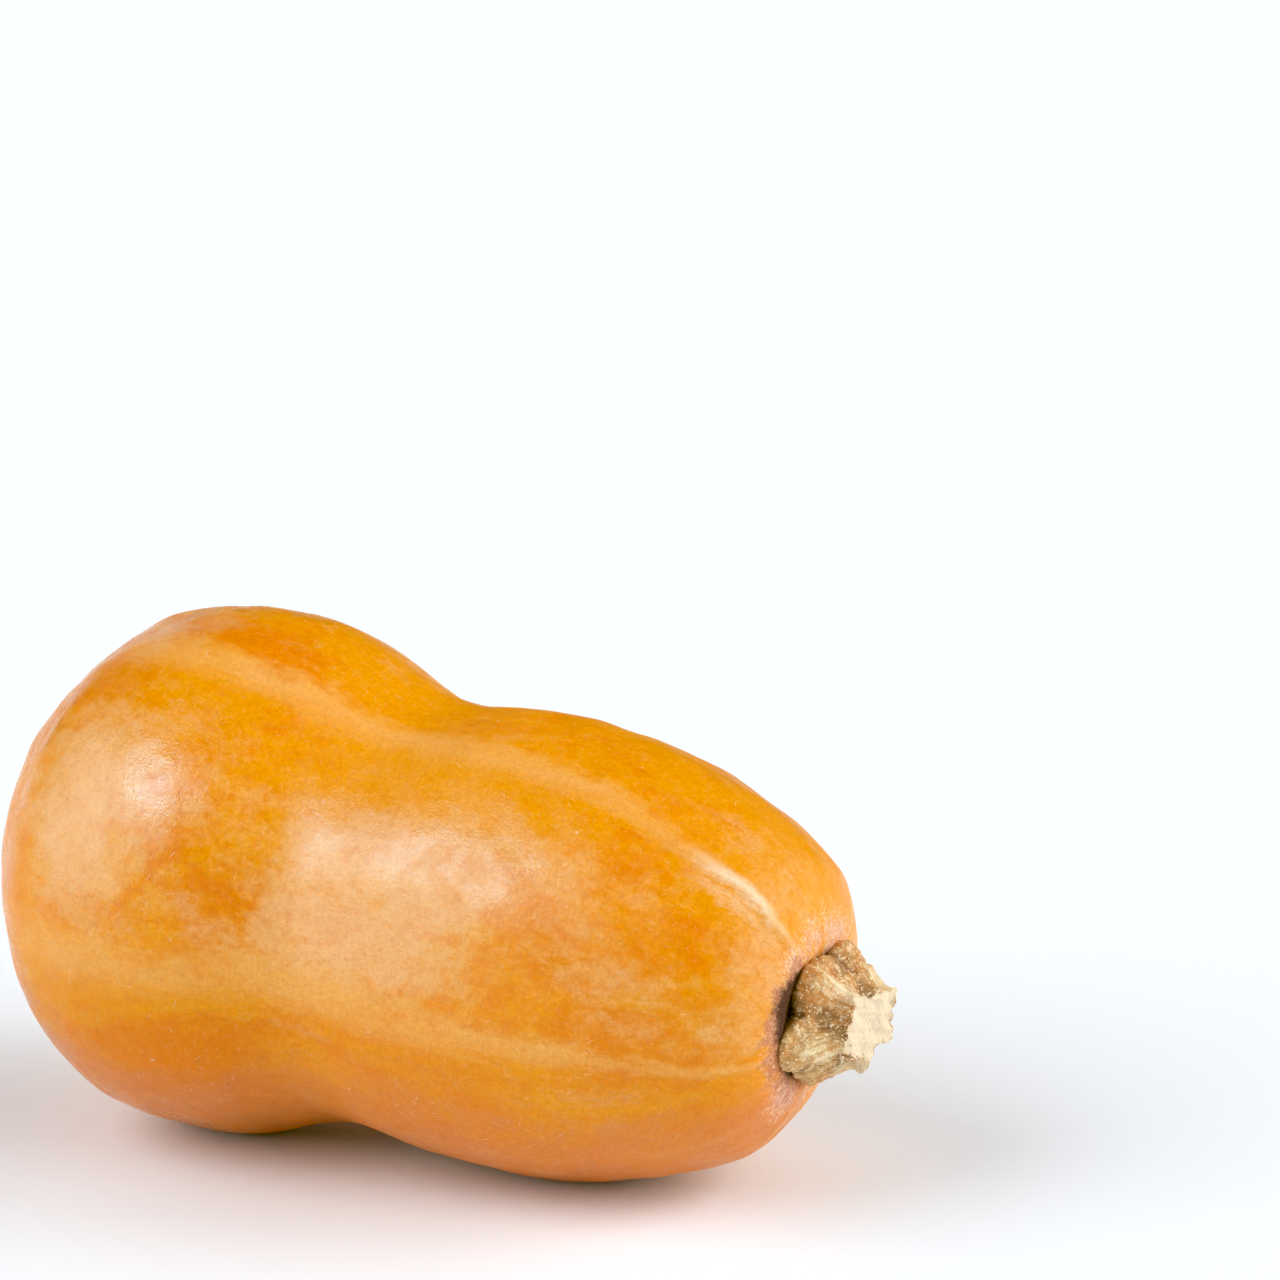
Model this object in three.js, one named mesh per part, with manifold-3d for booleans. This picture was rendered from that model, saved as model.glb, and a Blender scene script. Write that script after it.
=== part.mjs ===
// A butternut squash lying on its side, as picked: the fruit and the short dry stalk that grew on it.
// Millimetres, +Z up. +X runs along the squash from the blossom end to the stalk.
// The origin is on the ground, under the middle of the whole squash.
//
// The fruit is a body of revolution that nature has bent a little: one meridian turned round a gently
// curved centreline, with ten low ribs where its veins run. It rests on two small flats, one under the
// bulb and one under the neck. The stalk is five-angled: it spreads into five rounded lobes over a
// shallow dimple in the fruit, narrows, and ends in a slanting cut.
import * as THREE from "three";
import { mergeVertices } from "three/addons/utils/BufferGeometryUtils.js";
import Module from "manifold-3d";

const wasm = await Module();
wasm.setup();

// Driving dimensions of the fruit.
const fruitLength = 181; // blossom end to the rim round the stalk
const bulbRadius = 56; // the seed end, where it is widest
const waistRadius = 46.3;
const neckRadius = 48;
const shoulderRadius = 33.5; // where the neck rounds over towards the stalk
const rimRadius = 17.5; // the rim of the dimple that holds the stalk
const dimpleDepth = 2.2;

// How the fruit differs from a true body of revolution.
// The centreline's offsets are evenly spaced, from the blossom end to the stalk.
const centrelineSide = [-1.5, -2.3, -2.2, -1.3, -0.1, 0.8]; // towards +Y
const centrelineRise = [-0.1, -1.9, -1.5, 0.6, 2, 3.6]; // upwards
const ribCount = 10;
const ribHeight = 0.35;
const firstRibAngle = THREE.MathUtils.degToRad(118);

// How it lies.
const restFlatDepth = 0.45; // how much of the belly is pressed flat where it meets the ground
const lyingPitch = THREE.MathUtils.degToRad(8.9); // the thinner neck lies lower than the bulb

// Driving dimensions of the stalk.
const stalkHeight = 14.6; // seat to the middle of the cut
const stalkLobeRadius = 13.8;
const stalkCutRadius = 8.1;
const stalkLean = 1.1; // the middle of the cut lies this far above the middle of the seat
const stalkSeatGap = 0.3; // joint between stalk and fruit
const lobeAngles = [44, 128, 190, 276, 344]; // degrees round the stalk
const lobeReaches = [0.97, 1.07, 1.12, 1, 0.97]; // how far each lobe reaches out, beside an even one
const lobeDepth = 0.12; // how far lobes stand out and grooves sink, as a share of the radius
const cutSlant = THREE.MathUtils.degToRad(15);

// How finely the surfaces are divided.
const fruitSegments = 60;
const fruitStepsPerSpan = 3;
const stalkSegments = 50;
const stalkStepsPerSpan = 2;

// The fruit's meridian: share of the length from the blossom end, and radius.
const fruitMeridian = [
  [0, 0],
  [0.014, 0.42 * bulbRadius],
  [0.06, 0.665 * bulbRadius],
  [0.125, 0.88 * bulbRadius],
  [0.23, bulbRadius],
  [0.35, 0.978 * bulbRadius],
  [0.48, waistRadius],
  [0.61, neckRadius],
  [0.74, 0.983 * neckRadius],
  [0.855, 0.867 * neckRadius],
  [0.951, shoulderRadius],
  [0.99, 0.74 * shoulderRadius],
  [1, rimRadius],
  [1 - (0.75 * dimpleDepth) / fruitLength, 0.68 * rimRadius],
  [1 - dimpleDepth / fruitLength, 0],
].map(([share, radius]) => new THREE.Vector2(share * fruitLength, radius));

// The stalk's meridian: height above the seat, and radius.
const stalkMeridian = [
  [0, 0],
  [0, 0.5 * stalkLobeRadius],
  [0.08 * stalkHeight, 0.84 * stalkLobeRadius],
  [0.2 * stalkHeight, stalkLobeRadius],
  [0.36 * stalkHeight, 0.97 * stalkLobeRadius],
  [0.58 * stalkHeight, 0.8 * stalkLobeRadius],
  [0.8 * stalkHeight, 1.1 * stalkCutRadius],
  [0.97 * stalkHeight, stalkCutRadius],
  [stalkHeight, 0.93 * stalkCutRadius],
  [0.98 * stalkHeight, 0],
].map(([height, radius]) => new THREE.Vector2(height, radius));

// Points of a smooth line through a meridian. Each end is mirrored over the axis, so that its pole is round.
function smoothLine(meridian, stepsPerSpan) {
  const mirrored = (point) => new THREE.Vector2(point.x, -point.y);
  const last = meridian.length - 1;
  const curve = new THREE.SplineCurve([
    mirrored(meridian[1]),
    ...meridian,
    mirrored(meridian[last - 1]),
  ]);
  const steps = last * stepsPerSpan;
  return Array.from({ length: steps + 1 }, (_, i) =>
    curve.getPoint((1 + (i / steps) * last) / (last + 2)),
  );
}

// A closed surface of rings between two poles. place(point, angle) gives the vertex that stands for a
// point of the line at an angle round the axis.
function turnedSurface(line, segments, place) {
  const first = line[0];
  const last = line[line.length - 1];
  const rings = line.slice(1, -1);
  const vertices = [place(first, 0)];
  for (const point of rings) {
    for (let j = 0; j < segments; j++) {
      vertices.push(place(point, (2 * Math.PI * j) / segments));
    }
  }
  vertices.push(place(last, 0));

  const faces = [];
  const vertexAt = (ring, j) => 1 + ring * segments + (j % segments);
  const endPole = vertices.length - 1;
  for (let j = 0; j < segments; j++) {
    faces.push(0, vertexAt(0, j + 1), vertexAt(0, j));
    faces.push(endPole, vertexAt(rings.length - 1, j), vertexAt(rings.length - 1, j + 1));
    for (let ring = 0; ring < rings.length - 1; ring++) {
      const corners = [vertexAt(ring, j), vertexAt(ring, j + 1)];
      const next = [vertexAt(ring + 1, j), vertexAt(ring + 1, j + 1)];
      faces.push(corners[0], corners[1], next[1], corners[0], next[1], next[0]);
    }
  }
  const geometry = new THREE.BufferGeometry().setFromPoints(vertices);
  geometry.setIndex(faces);
  return geometry;
}

// The fruit's centreline, and its point at a distance from the blossom end.
const centrelineCurve = new THREE.CatmullRomCurve3(
  centrelineSide.map((side, i) => {
    const share = i / (centrelineSide.length - 1);
    return new THREE.Vector3(share * fruitLength, side, centrelineRise[i]);
  }),
  false,
  "catmullrom",
);

function centreline(distance) {
  return centrelineCurve.getPoint(THREE.MathUtils.clamp(distance / fruitLength, 0, 1));
}

// The fruit's skin: the meridian round the centreline, with ribs that fade at both ends.
function fruitPoint(point, angle) {
  const share = point.x / fruitLength;
  const ribFade = Math.sin(Math.PI * THREE.MathUtils.clamp(share, 0, 1)) * (point.y / neckRadius);
  const radius = point.y + ribHeight * ribFade * Math.cos(ribCount * (angle - firstRibAngle));
  return centreline(point.x).add(
    new THREE.Vector3(0, radius * Math.cos(angle), radius * Math.sin(angle)),
  );
}

// The stalk's section at an angle, beside a circle of radius 1: from lobe to uneven lobe it sinks into a
// groove along a cosine, while the reach passes evenly from one lobe's to the next one's.
function lobedSection(angle) {
  const degrees = THREE.MathUtils.euclideanModulo(
    THREE.MathUtils.radToDeg(angle) - lobeAngles[0],
    360,
  );
  const crests = [...lobeAngles.map((crest) => crest - lobeAngles[0]), 360];
  const next = crests.findIndex((crest) => crest > degrees);
  const share = (degrees - crests[next - 1]) / (crests[next] - crests[next - 1]);
  const reach = THREE.MathUtils.lerp(
    lobeReaches[next - 1],
    lobeReaches[next % lobeReaches.length],
    share,
  );
  return reach * (1 + lobeDepth * Math.cos(2 * Math.PI * share));
}

// The stalk's surface, above its seat along +X: lobed, leaning, and sheared at the top by its slanting cut.
function stalkPoint(point, angle) {
  const share = point.x / stalkHeight;
  const radius = point.y * lobedSection(angle);
  const side = radius * Math.cos(angle);
  const up = radius * Math.sin(angle) + stalkLean * share;
  return new THREE.Vector3(point.x + share ** 2 * Math.tan(cutSlant) * side, side, up);
}

// A geometry as a solid for boolean cuts, and back.
function toSolid(geometry) {
  const merged = mergeVertices(geometry.clone());
  return new wasm.Manifold(
    new wasm.Mesh({
      numProp: 3,
      vertProperties: merged.attributes.position.array,
      triVerts: new Uint32Array(merged.index.array),
    }),
  );
}

function toGeometry(solid) {
  const mesh = solid.getMesh();
  const geometry = new THREE.BufferGeometry();
  geometry.setAttribute("position", new THREE.BufferAttribute(mesh.vertProperties, 3));
  geometry.setIndex(new THREE.BufferAttribute(mesh.triVerts, 1));
  geometry.computeVertexNormals();
  return geometry;
}

const fruitShape = turnedSurface(
  smoothLine(fruitMeridian, fruitStepsPerSpan),
  fruitSegments,
  fruitPoint,
);
const stalkShape = turnedSurface(
  smoothLine(stalkMeridian, stalkStepsPerSpan),
  stalkSegments,
  stalkPoint,
);
stalkShape.computeVertexNormals();

const rind = new THREE.MeshStandardMaterial({ color: 0xe8912f, roughness: 0.42, metalness: 0 });
const dryStalk = new THREE.MeshStandardMaterial({ color: 0xa98a55, roughness: 0.8, metalness: 0 });

const fruit = new THREE.Mesh(fruitShape, rind);
fruit.name = "squash_fruit";

const stalk = new THREE.Mesh(stalkShape, dryStalk);
stalk.name = "stalk";
stalk.position.copy(centreline(fruitLength - dimpleDepth + stalkSeatGap));

// The squash tips down towards the stalk until bulb and neck both touch the ground.
const lying = new THREE.Group();
lying.add(fruit, stalk);
lying.rotation.y = lyingPitch;
lying.updateMatrixWorld(true);

// The whole squash is centred over the origin and sunk by the depth of its rest flats.
const extent = new THREE.Box3().setFromObject(lying, true);
const middle = extent.getCenter(new THREE.Vector3());
lying.position.set(-middle.x, -middle.y, -extent.min.z - restFlatDepth);
lying.updateMatrixWorld(true);

// What would lie below the ground is cut away, which leaves the two flats.
const groundSize = 4 * fruitLength;
const ground = new THREE.BoxGeometry(groundSize, groundSize, groundSize);
ground.translate(0, 0, -groundSize / 2);
ground.deleteAttribute("normal");
ground.deleteAttribute("uv");
ground.applyMatrix4(lying.matrixWorld.clone().invert());
fruit.geometry = toGeometry(toSolid(fruitShape).subtract(toSolid(ground)));

const squash = new THREE.Group();
squash.add(lying);

export default squash;
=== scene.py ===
"""A butternut squash lying on its side: waxy striped rind, corky cut stalk, torn fibres and a pale stage."""

import math

import bmesh
import bpy
import numpy as np
from bpy.props import FloatProperty, FloatVectorProperty, IntProperty, PointerProperty
from mathutils import Euler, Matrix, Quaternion, Vector


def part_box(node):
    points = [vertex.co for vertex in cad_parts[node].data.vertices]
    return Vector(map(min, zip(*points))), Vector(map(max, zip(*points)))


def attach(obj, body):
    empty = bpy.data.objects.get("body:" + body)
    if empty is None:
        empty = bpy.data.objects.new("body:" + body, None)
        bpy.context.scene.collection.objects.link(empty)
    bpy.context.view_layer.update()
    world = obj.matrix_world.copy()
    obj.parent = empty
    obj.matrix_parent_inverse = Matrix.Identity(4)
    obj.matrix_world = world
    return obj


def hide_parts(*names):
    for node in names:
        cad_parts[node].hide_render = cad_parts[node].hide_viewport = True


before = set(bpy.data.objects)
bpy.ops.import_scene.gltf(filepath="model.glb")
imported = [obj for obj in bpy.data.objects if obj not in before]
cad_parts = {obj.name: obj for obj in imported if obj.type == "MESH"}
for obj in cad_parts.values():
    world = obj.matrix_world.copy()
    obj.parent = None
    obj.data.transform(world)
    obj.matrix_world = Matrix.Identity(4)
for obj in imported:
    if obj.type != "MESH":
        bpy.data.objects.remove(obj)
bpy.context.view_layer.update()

bl_info = {
    "name": "Butternut Squash",
    "version": (1, 0, 0),
    "blender": (4, 5, 0),
    "location": "View3D > Sidebar > Squash",
    "description": "Grows a butternut squash with its cut stalk and sets it on a pale studio floor",
    "category": "Add Mesh",
}

MM = 0.001
TURN = 2 * np.pi
FRUIT_NODE, STALK_NODE = "squash_fruit", "stalk"


# ---------------------------------------------------------------- sizes and colours a user would change


def size_of(name, description, millimetres):
    """A length property, shown in scene units and kept in metres."""
    return FloatProperty(
        name=name, description=description, default=millimetres * MM, min=0, unit="LENGTH",
        subtype="DISTANCE", precision=5,
    )


def angle_of(name, description, degrees):
    """An angle property from degrees."""
    turn = math.radians(degrees)
    return FloatProperty(name=name, description=description, default=turn, subtype="ANGLE", unit="ROTATION")


def tint_of(name, description, red, green, blue):
    """A colour property from eight-bit display values."""
    linear = [c / 255 / 12.92 if c <= 10 else ((c / 255 + 0.055) / 1.055) ** 2.4 for c in (red, green, blue)]
    return FloatVectorProperty(
        name=name, description=description, subtype="COLOR", size=3, min=0, max=1, default=linear
    )


class SquashRindSettings(bpy.types.PropertyGroup):
    length: size_of("Fruit length", "From the blossom end to the rim round the stalk", 181)
    bulb_radius: size_of("Bulb radius", "Radius of the seed end at its widest", 56)
    waist_radius: size_of("Waist radius", "Radius where the bulb runs into the neck", 46.3)
    neck_radius: size_of("Neck radius", "Radius of the neck at its widest", 48)
    shoulder_radius: size_of("Shoulder radius", "Radius where the neck turns over towards the stalk", 33.5)
    rim_radius: size_of("Rim radius", "Radius of the rim round the stalk", 17.5)
    dimple_depth: size_of("Dimple depth", "How far the stalk's seat lies below the rim", 2.2)
    rib_height: size_of("Rib height", "Height of the ten faint ribs", 0.35)
    ridge_height: size_of("Ridge height", "Height of the sharp ridge on the main stripe by the stalk", 0.5)
    lump_height: size_of("Lump height", "Height of the broad uneven swellings", 0.3)
    pitch: angle_of("Lying pitch", "How far the neck tips down as the fruit lies", 8.9)
    orange: tint_of("Ripe orange", "Bare ripe rind", 239, 155, 0)
    ember: tint_of("Deep orange", "Darker mottles in the ripe rind", 233, 130, 0)
    bloom: tint_of("Tan bloom", "Waxy tan bloom over the flanks", 240, 176, 104)
    rose: tint_of("Rosy tan", "Redder mottles inside the bloom", 235, 152, 74)
    clay: tint_of("Underside clay", "Red-brown blush of the underside", 224, 130, 66)
    straw: tint_of("Stripe straw", "Pale stripes that run from end to end", 243, 172, 80)
    russet: tint_of("Freckle russet", "Faint freckles", 230, 124, 12)
    # Painted shade in the gap round the stalk, over skin that is dark plum there
    plum: tint_of("Crevice plum", "Dark skin in the gap round the stalk", 66, 34, 32)
    bruise: tint_of("Bruise mauve", "Mauve bruising beside the gap", 190, 116, 84)
    ash: tint_of("Scuff ash", "Pinkish scuffs round the stalk", 222, 190, 180)
    # Scratch cream is also the painted highlight along the main stripe's spine by the stalk
    cream: tint_of("Scratch cream", "Dry pale scratches", 252, 226, 186)


class SquashStalkSettings(bpy.types.PropertyGroup):
    height: size_of("Stalk height", "From the seat to the cut", 14.6)
    lobe_radius: size_of("Foot radius", "Mean radius over the five feet", 13.8)
    cut_radius: size_of("Cut radius", "Mean radius of the cut face", 8.1)
    lean: size_of("Lean", "How far the cut stands above the seat", 1.1)
    wart_count: IntProperty(name="Warts", description="Number of corky warts", default=1500, min=0)
    wart_height: size_of("Wart height", "Height of a corky wart", 0.14)
    tan: tint_of("Stalk tan", "Dry skin of the stalk", 206, 136, 70)
    # Partly darker skin and partly painted shade in the grooves between the feet
    umber: tint_of("Groove umber", "Grooves between the feet", 134, 84, 46)
    olive: tint_of("Stalk olive", "Greener patches on the feet", 212, 172, 112)
    # Bone is also a painted highlight along the ridge crests, beside real pale warts, chalky patches and
    # fibres
    bone: tint_of("Ridge bone", "Bleached ridges and warts", 250, 232, 190)
    pith: tint_of("Cut pith", "Fresh fibrous cut face", 234, 214, 181)


class SquashStageSettings(bpy.types.PropertyGroup):
    floor_radius: size_of("Floor radius", "Radius of the round floor", 12000)
    floor_colour: tint_of("Floor colour", "Plain pale floor", 243, 249, 255)
    azimuth: angle_of("Camera azimuth", "Direction the camera stands in, round the object", 26)
    elevation: angle_of("Camera elevation", "Height of the camera above the horizon", 14)
    distance: size_of("Camera distance", "From the camera to the origin, before its sideways step", 1100)
    lens: FloatProperty(
        name="Lens", description="Focal length on a 36 mm sensor", default=145.4, unit="CAMERA"
    )


# ---------------------------------------------------------------- shapes


def smooth_line(knots, steps):
    """A smooth line through knots. Between b and c, with a before and d beyond, it is half of
    2b + (c-a)t + (2a-5b+4c-d)t^2 + (3b-a-3c+d)t^3. The first and last knots only steer the ends."""
    t = (np.arange(steps) / steps)[None, :, None]
    a, b, c, d = (knots[i : len(knots) - 3 + i, None, :] for i in range(4))
    spans = 0.5 * (2 * b + (c - a) * t + (2 * a - 5 * b + 4 * c - d) * t**2 + (3 * b - a - 3 * c + d) * t**3)
    return np.vstack([spans.reshape(-1, knots.shape[1]), knots[-2:-1]])


def mirrored(knots):
    """Knots of a meridian that starts and ends on the axis, steered square to the axis by mirror images."""
    flip = np.array([1, -1])
    return np.vstack([knots[1] * flip, knots, knots[-2] * flip])


def even_curve(values, share):
    """The same smooth line through evenly spaced values, straight on beyond its ends, read at a share."""
    values = np.asarray(values, float)
    knots = np.concatenate([[2 * values[0] - values[1]], values, [2 * values[-1] - values[-2]]])
    spans = len(values) - 1
    place = np.clip(share, 0, 1) * spans
    i = np.minimum(place.astype(int), spans - 1)
    t = place - i
    a, b, c, d = (knots[i + k] for k in range(4))
    return 0.5 * (2 * b + (c - a) * t + (2 * a - 5 * b + 4 * c - d) * t**2 + (3 * b - a - 3 * c + d) * t**3)


def spread(line, count, crowding):
    """`count` points along a line, closer together where crowding(length) is larger. Gives the length along
    the line at each point, and the points."""
    length = np.concatenate([[0], np.cumsum(np.linalg.norm(np.diff(line, axis=0), axis=1))])
    weight = crowding(length)
    load = np.concatenate([[0], np.cumsum(np.diff(length) * (weight[1:] + weight[:-1]) / 2)])
    along = np.interp(np.linspace(0, load[-1], count), load, length)
    return along, np.stack([np.interp(along, length, column) for column in line.T], 1)


def step(low, high, value):
    """0 below low, 1 above high, and 3t^2 - 2t^3 between them."""
    t = np.clip((value - low) / (high - low), 0, 1)
    return t * t * (3 - 2 * t)


def bell(value, width):
    """exp(-(value / width)^2)"""
    return np.exp(-((value / width) ** 2))


def waves(points, shortest, longest, count, seed):
    """Seeded lumpiness of about -1 to 1: the sum of `count` plane waves in random directions, with
    wavelengths from shortest to longest in the points' own unit."""
    rng = np.random.default_rng(seed)
    heading = rng.normal(size=(count, points.shape[-1]))
    heading /= np.linalg.norm(heading, axis=1, keepdims=True)
    pull = heading * (TURN / rng.uniform(shortest, longest, count))[:, None]
    phase = rng.uniform(0, TURN, count)
    return np.cos(points @ pull.T + phase).sum(-1) / math.sqrt(count / 2) / 1.6


def nearest_turn(angle, step_angle):
    """How far an angle is from the nearest multiple of step_angle, signed."""
    return (angle + step_angle / 2) % step_angle - step_angle / 2


def facing(angle, centre, width):
    """A bell over the angle round the axis, about a centre, both in degrees."""
    return bell(nearest_turn(angle - centre, 360), width)


def outward(points):
    """Unit normals of a grid of rings: the way round crossed with the way along. Both poles take the mean
    of the ring beside them."""
    along = np.gradient(points, axis=0)
    around = np.roll(points, -1, 1) - np.roll(points, 1, 1)
    normal = np.cross(around, along)
    normal[0], normal[-1] = normal[1].mean(0), normal[-2].mean(0)
    return normal / np.linalg.norm(normal, axis=-1, keepdims=True)


def set_down(name, data):
    """An object of the scene that holds a mesh, a light or a camera."""
    made = bpy.data.objects.new(name, data)
    bpy.context.scene.collection.objects.link(made)
    return made


def put_skin(name, points, fields, map_across, map_along):
    """A closed smooth mesh over rings by columns of points in millimetres, its first and last rings drawn
    together into poles. Fields become point attributes, and the map lays the rings out flat in metres."""
    rings, columns = points.shape[:2]

    def flat(grid):
        grid = np.asarray(grid, float)
        inner = grid[1:-1].reshape((-1,) + grid.shape[2:])
        return np.concatenate([grid[0].mean(0, keepdims=True), inner, grid[-1].mean(0, keepdims=True)])

    corners = flat(points) * MM
    j = np.arange(columns)
    k = (j + 1) % columns
    start = 1 + np.arange(rings - 3)[:, None] * columns
    quads = np.stack([start + j, start + k, start + columns + k, start + columns + j], -1).reshape(-1, 4)
    edge, pole = 1 + (rings - 3) * columns, len(corners) - 1
    first = np.stack([0 * j, 1 + k, 1 + j], -1)
    last = np.stack([edge + j, edge + k, 0 * j + pole], -1)
    loops = np.concatenate([quads.ravel(), first.ravel(), last.ravel()])
    starts = np.concatenate([np.arange(len(quads)) * 4, 4 * len(quads) + np.arange(2 * columns) * 3])

    mesh = bpy.data.meshes.new(name)
    mesh.vertices.add(len(corners))
    mesh.vertices.foreach_set("co", corners.astype(np.float32).ravel())
    mesh.loops.add(len(loops))
    mesh.loops.foreach_set("vertex_index", loops.astype(np.int32))
    mesh.polygons.add(len(starts))
    mesh.polygons.foreach_set("loop_start", starts.astype(np.int32))
    mesh.polygons.foreach_set("use_smooth", np.ones(len(starts), bool))
    mesh.update(calc_edges=True)

    u = j * map_across / columns
    w = u + map_across / columns
    v = np.asarray(map_along, float)
    low, high = np.broadcast_arrays(v[1:-2, None], v[2:-1, None])
    low, high = (np.broadcast_to(x, (rings - 3, columns)) for x in (low, high))
    u2, w2 = (np.broadcast_to(x, (rings - 3, columns)) for x in (u, w))
    quad_map = np.stack([u2, low, w2, low, w2, high, u2, high], -1).ravel()
    middle = (u + w) / 2
    first_map = np.stack([middle, 0 * u + v[0], w, 0 * u + v[1], u, 0 * u + v[1]], -1).ravel()
    last_map = np.stack([u, 0 * u + v[-2], w, 0 * u + v[-2], middle, 0 * u + v[-1]], -1).ravel()
    layer = mesh.uv_layers.new(name="growth_map")
    whole_map = np.concatenate([quad_map, first_map, last_map]) * MM
    layer.uv.foreach_set("vector", whole_map.astype(np.float32))

    for field, values in fields.items():
        values = flat(values)
        kind, key = ("FLOAT_VECTOR", "vector") if values.ndim > 1 else ("FLOAT", "value")
        mesh.attributes.new(field, kind, "POINT").data.foreach_set(key, values.astype(np.float32).ravel())
    return set_down(name, mesh)


# ---------------------------------------------------------------- the fruit's own coordinates

CENTRE_SIDE = (-1.5, -2.3, -2.2, -1.3, -0.1, 0.8)
CENTRE_RISE = (-0.1, -1.9, -1.5, 0.6, 2.0, 3.6)
RIB_TURN, STRIPE_TURN = 36.0, 72.0
FIRST_RIB = 118.0
FRUIT_RINGS, FRUIT_COLUMNS = 360, 270
STALK_RINGS, STALK_COLUMNS = 240, 400
FRUIT_MAP_RADIUS, STALK_MAP_RADIUS = 50, 10
GROUND_SIDE, LIFTED_SIDE = 240, 153
SEAT_GAP = 0.3
RIM_LENGTH = 17.8
LOBE_ANGLES = np.array([50.0, 133, 190, 276, 344])
LOBE_REACHES = np.array([1.09, 1.14, 1.17, 1.0, 0.97])
CUT_SLANT = math.radians(15)
WART_BATCHES = 14


def fruit_line(share):
    """Side and rise in millimetres of the fruit's bent centreline at a share of its length."""
    return even_curve(CENTRE_SIDE, share), even_curve(CENTRE_RISE, share)


def laid_down(rind, x, y, z):
    """Tips the standing coordinates over by the lying pitch."""
    c, s = math.cos(rind.pitch), math.sin(rind.pitch)
    return np.stack([x * c + z * s, y, -x * s + z * c], -1)


def fruit_base(rind):
    """The plain fruit: a meridian turned about the bent centreline. Gives the meridian's length along,
    distance and radius for each ring, the angle of each column in degrees, the points in the object's
    frame, the shift that brought them there, and the meridian's whole length."""
    length, bulb, neck = rind.length / MM, rind.bulb_radius / MM, rind.neck_radius / MM
    waist, shoulder = rind.waist_radius / MM, rind.shoulder_radius / MM
    rim, dip = rind.rim_radius / MM, rind.dimple_depth / MM
    knots = np.array([
        (0, 0), (0.014 * length, 0.42 * bulb), (0.06 * length, 0.665 * bulb), (0.125 * length, 0.88 * bulb),
        (0.23 * length, bulb), (0.35 * length, 0.978 * bulb), (0.48 * length, waist), (0.61 * length, neck),
        (0.74 * length, 0.983 * neck), (0.855 * length, 0.867 * neck), (0.951 * length, shoulder),
        (0.99 * length, 0.74 * shoulder), (length, rim), (length - 0.75 * dip, 0.68 * rim),
        (length - dip, 0),
    ])
    line = smooth_line(mirrored(knots), 200)
    total = np.linalg.norm(np.diff(line, axis=0), axis=1).sum()
    rim_place = total - RIM_LENGTH

    def crowding(s):
        return 1 + 3 * bell(s, 8) + 1.8 * bell(s - rim_place, 12) + bell(s - total, 8)

    along, place = spread(line, FRUIT_RINGS, crowding)
    distance, radius = place[:, :1], place[:, 1:]
    angle = np.arange(FRUIT_COLUMNS)[None, :] * 360 / FRUIT_COLUMNS
    side, rise = fruit_line(distance / length)
    a = np.radians(angle)
    points = laid_down(rind, distance + 0 * a, side + radius * np.cos(a), rise + radius * np.sin(a))
    low, high = points.reshape(-1, 3).min(0), points.reshape(-1, 3).max(0)
    box_low, box_high = (np.array(corner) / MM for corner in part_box(FRUIT_NODE))
    shift = (box_low + box_high - low - high) / 2
    shift[2] = box_high[2] - high[2] - rind.rib_height / MM * 0.6
    return along, distance, radius, angle, points + shift, shift, total


# broad colour patches on the rind: angle and distance of the centre, half size round and along in mm, and
# how much more (+) or less (-) bloom and ripe red there is than round about
PATCHES = (
    (101, 54, 7, 12, -0.2, 0.55), (99, 90, 8, 14, 0.0, 0.3), (88, 76, 10, 12, -0.1, -0.3),
    (85, 122, 20, 42, -0.3, -0.1), (95, 149, 4, 8, 0.15, -0.3), (100, 171, 14, 9, 0.3, -0.3),
    (98, 27, 15, 12, 0.36, 0.25), (88, 46, 12, 10, 0.2, 0.1), (123, 72, 5, 46, -0.3, -0.05),
    (128, 113, 5, 10, -0.2, -0.3), (126, 27, 8, 11, -0.15, 0.3), (154, 32, 24, 12, 0.4, -0.2),
    (158, 12, 60, 8, -0.5, 0.12), (188, 20, 16, 8, -0.6, 0.1), (149, 67, 11, 9, -0.2, 0.12),
    (172, 66, 7, 10, -0.14, 0.1), (165, 70, 4, 5, -0.6, 0.2), (160, 62, 4, 4, -0.3, 0.0),
    (178, 45, 7, 24, -0.25, 0.05), (200, 30, 9, 10, 0.3, 0.0), (158, 100, 17, 20, 0.25, -0.1),
    (176, 100, 8, 19, 0.2, -0.1), (181, 124, 5, 9, -0.4, 0.3), (150, 144, 10, 12, -0.1, 0.1),
    (136, 150, 5, 16, 0.12, -0.1), (146, 162, 7, 8, -0.25, 0.45), (126, 148, 5, 8, -0.2, 0.3),
    (124, 126, 4, 10, -0.25, 0.0), (136, 172, 6, 5, 0.15, 0.0), (168, 177, 14, 4, 0.3, -0.1),
    (142, 166, 6, 5, -0.3, 0.05), (222, 176, 12, 8, -0.5, 0.0), (161, 143, 6, 8, 0.25, 0.0),
    (186, 160, 4, 8, -0.3, 0.3), (204, 50, 7, 10, -0.3, 0.1), (170, 148, 15, 30, -0.2, 0.3),
    (207, 56, 5, 20, -0.4, 0.4), (201, 68, 5, 13, -0.35, 0.5), (222, 64, 8, 15, 0.25, 0.3),
    (203, 153, 7, 8, 0.35, 0.0), (226, 116, 9, 12, 0.2, 0.2), (224, 160, 9, 12, 0.2, 0.1),
    (20, 60, 14, 24, -0.35, 0.4), (345, 120, 12, 22, -0.3, 0.2), (30, 140, 10, 18, 0.3, -0.1),
    (300, 70, 12, 20, -0.2, 0.4),
)


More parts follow.
